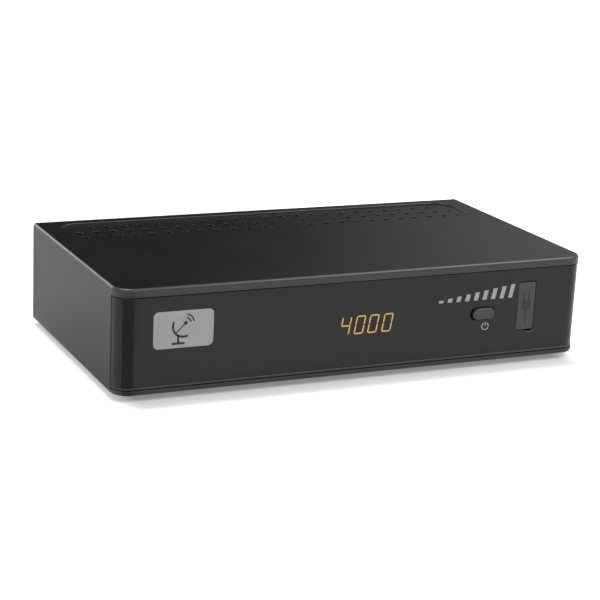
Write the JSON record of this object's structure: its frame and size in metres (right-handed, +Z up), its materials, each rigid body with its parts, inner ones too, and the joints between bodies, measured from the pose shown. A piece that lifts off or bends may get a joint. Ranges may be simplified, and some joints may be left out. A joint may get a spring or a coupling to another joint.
{
  "type": "satellite tv receiver",
  "caption": "Compact set-top satellite TV receiver: moulded case with top vents, wrap-round front panel with digit display, power button and USB door, rear sockets.",
  "frame": {"origin": "middle of the bounding box at the level of the feet's undersides", "axes": "+X to the right along the front, +Y from the front to the back, +Z up"},
  "size_m": [0.22, 0.1296, 0.0475],
  "materials": {
    "case_abs": "matte fine-textured black moulded ABS",
    "panel_acrylic": "glossy smoked acrylic",
    "button_abs": "satin dark grey moulded ABS",
    "rubber": "matte black rubber",
    "steel": "zinc-plated steel",
    "painted_steel": "black powder-coated sheet steel",
    "nickel": "nickel-plated brass",
    "circuit_board": "green solder-masked fibreglass board",
    "black_nylon": "black moulded nylon",
    "white_nylon": "off-white moulded nylon",
    "aluminium": "extruded aluminium",
    "tinned_can": "tinned sheet can",
    "chip_epoxy": "black moulded epoxy",
    "capacitor_sleeve": "dark blue shrink sleeve",
    "orange_insert": "orange moulded plastic",
    "display_epoxy": "dark amber epoxy"
  },
  "bodies": {
    "case": {"top_cover": "case_abs", "base_tray": "case_abs", "rear_panel": "painted_steel", "front_panel": "panel_acrylic", "foot_1": "rubber", "foot_2": "rubber", "foot_3": "rubber", "foot_4": "rubber", "case_screw_1": "steel", "case_screw_2": "steel", "case_screw_3": "steel", "case_screw_4": "steel", "rear_panel_screw_1": "steel", "rear_panel_screw_2": "steel", "usb_flap_pin": "steel", "front_board": "circuit_board", "led_display": "display_epoxy", "ir_receiver": "black_nylon", "standby_led": "display_epoxy", "tact_switch": "black_nylon", "usb_socket": "nickel", "front_ribbon_connector": "white_nylon", "front_board_screw_1": "steel", "front_board_screw_2": "steel", "ribbon_cable": "white_nylon", "board_screw_1": "steel", "board_screw_2": "steel", "board_screw_3": "steel", "board_screw_4": "steel", "main_board": "circuit_board", "processor_chip": "chip_epoxy", "memory_chip_1": "chip_epoxy", "memory_chip_2": "chip_epoxy", "flash_chip": "chip_epoxy", "heat_sink": "aluminium", "clock_crystal": "nickel", "filter_capacitor_1": "capacitor_sleeve", "filter_capacitor_2": "capacitor_sleeve", "filter_capacitor_3": "capacitor_sleeve", "filter_capacitor_4": "capacitor_sleeve", "power_inductor_1": "chip_epoxy", "power_inductor_2": "chip_epoxy", "main_ribbon_connector": "white_nylon", "power_switch_body": "black_nylon", "dc_jack": "black_nylon", "service_jack": "black_nylon", "coax_audio_jack": "orange_insert", "hdmi_socket": "nickel", "scart_socket": "black_nylon", "tuner_can": "tinned_can", "lnb_out_connector": "nickel", "lnb_in_connector": "nickel", "lnb_out_nut": "nickel", "lnb_in_nut": "nickel"},
    "button": {"power_button": "button_abs"},
    "plunger": {"switch_plunger": "white_nylon"},
    "door": {"usb_flap": "button_abs"},
    "rocker": {"power_rocker": "black_nylon"}
  },
  "joints": [
    {"name": "button_press", "type": "slide", "parent": "case", "child": "button", "axis": [0, 1, 0], "range_m": [0, 0.0005], "stiffness_N_per_m": 3000},
    {"name": "plunger_travel", "type": "slide", "parent": "case", "child": "plunger", "axis": [0, 1, 0], "range_m": [0, 0.0005]},
    {"name": "usb_door_hinge", "type": "hinge", "parent": "case", "child": "door", "pos_m": [0.08107, -0.0625, 0.03615], "axis": [-1, 0, 0], "range_deg": [0, 90]},
    {"name": "power_rocker_tilt", "type": "hinge", "parent": "case", "child": "rocker", "pos_m": [-0.07865, 0.0511, 0.0171], "axis": [0, 0, -1], "range_deg": [0, 22]}
  ],
  "couplings": [
    {"joint": "plunger_travel", "follows": "button_press", "ratio": 1}
  ]
}
